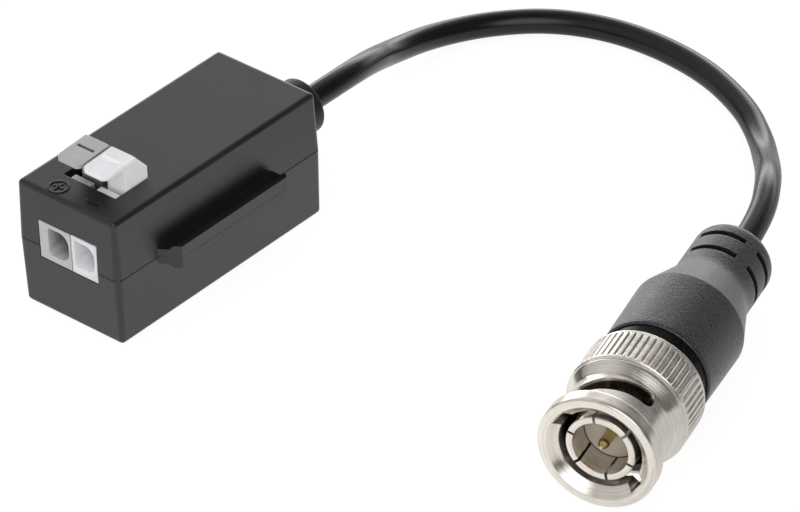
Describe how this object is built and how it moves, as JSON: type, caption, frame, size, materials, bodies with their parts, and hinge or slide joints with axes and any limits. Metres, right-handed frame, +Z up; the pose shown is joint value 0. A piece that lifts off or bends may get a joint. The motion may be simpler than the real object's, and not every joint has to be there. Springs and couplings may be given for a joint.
{
  "type": "cctv video balun",
  "caption": "Small black housing with a push-lever wire terminal at its front, a stacking rail and a short coaxial cable that ends in a booted bayonet plug.",
  "frame": {"origin": "centre of the housing's flat base", "axes": "+Z up; the wires go in at the front, towards -Y; the cable leaves the back towards +Y; the stacking rail is on the +X side"},
  "size_m": [0.0838, 0.0854, 0.0207],
  "materials": {
    "housing_plastic": "fine satin grain",
    "grey_plastic": "moulded, semi-gloss",
    "white_plastic": "moulded, semi-gloss",
    "terminal_plastic_grey": "moulded",
    "terminal_plastic_white": "moulded",
    "spring_steel": "rolled",
    "tinned_brass": "tin plated",
    "board": "green solder mask",
    "ferrite": "ground",
    "copper_wire": "enamelled",
    "component_body": "moulded",
    "ceramic": "fired",
    "rubber": "matte",
    "cable_jacket": "semi-gloss",
    "dielectric": "translucent white",
    "nickel": "nickel plate",
    "gold": "gold plate",
    "boot_rubber": "fine grained",
    "silicone": "smooth"
  },
  "bodies": {
    "housing": {"lower_shell": "housing_plastic", "upper_shell": "housing_plastic", "circuit_board": "board", "ferrite_core": "ferrite", "first_winding": "copper_wire", "second_winding": "copper_wire", "surge_suppressor": "component_body", "capacitor": "ceramic", "resistor": "component_body", "strain_relief": "rubber", "grey_terminal_body": "terminal_plastic_grey", "white_terminal_body": "terminal_plastic_white", "grey_clamp_spring": "spring_steel", "white_clamp_spring": "spring_steel", "grey_contact": "tinned_brass", "white_contact": "tinned_brass", "cable_inner_end": "cable_jacket", "cable_inner_dielectric": "dielectric", "cable_core_wire": "copper_wire", "cable_braid_tail": "copper_wire", "plug_body": "nickel", "plug_insulator": "dielectric", "centre_pin": "gold", "sealing_gasket": "silicone", "wave_washer": "spring_steel", "crimp_ferrule": "nickel", "plug_dielectric": "dielectric", "cable_plug_end": "cable_jacket", "plug_boot": "boot_rubber", "cable": "cable_jacket"},
    "grey_lever": {"grey_lever": "grey_plastic"},
    "white_lever": {"white_lever": "white_plastic"},
    "nut_thrust_washer": {"thrust_washer": "spring_steel"},
    "nut": {"coupling_nut": "nickel", "retaining_ring": "spring_steel"}
  },
  "joints": [
    {"name": "grey_lever_push", "type": "hinge", "parent": "housing", "child": "grey_lever", "pos_m": [-0.0014, -0.0085, 0.0142], "axis": [1, 0, 0], "range_deg": [0, 15], "stiffness_Nm_per_rad": 0.02, "deforming": ["grey_clamp_spring"]},
    {"name": "white_lever_push", "type": "hinge", "parent": "housing", "child": "white_lever", "pos_m": [0.0026, -0.0085, 0.0142], "axis": [1, 0, 0], "range_deg": [0, 15], "stiffness_Nm_per_rad": 0.02, "deforming": ["white_clamp_spring"]},
    {"name": "nut_draw_in", "type": "slide", "parent": "housing", "child": "nut_thrust_washer", "axis": [0.285, -0.9585, 0], "range_m": [0, 0.0006], "stiffness_N_per_m": 2000, "deforming": ["wave_washer"]},
    {"name": "nut_turn", "type": "hinge", "parent": "nut_thrust_washer", "child": "nut", "pos_m": [0.06641, 0.00257, 0.00725], "axis": [0.285, -0.9585, 0], "continuous": true}
  ]
}
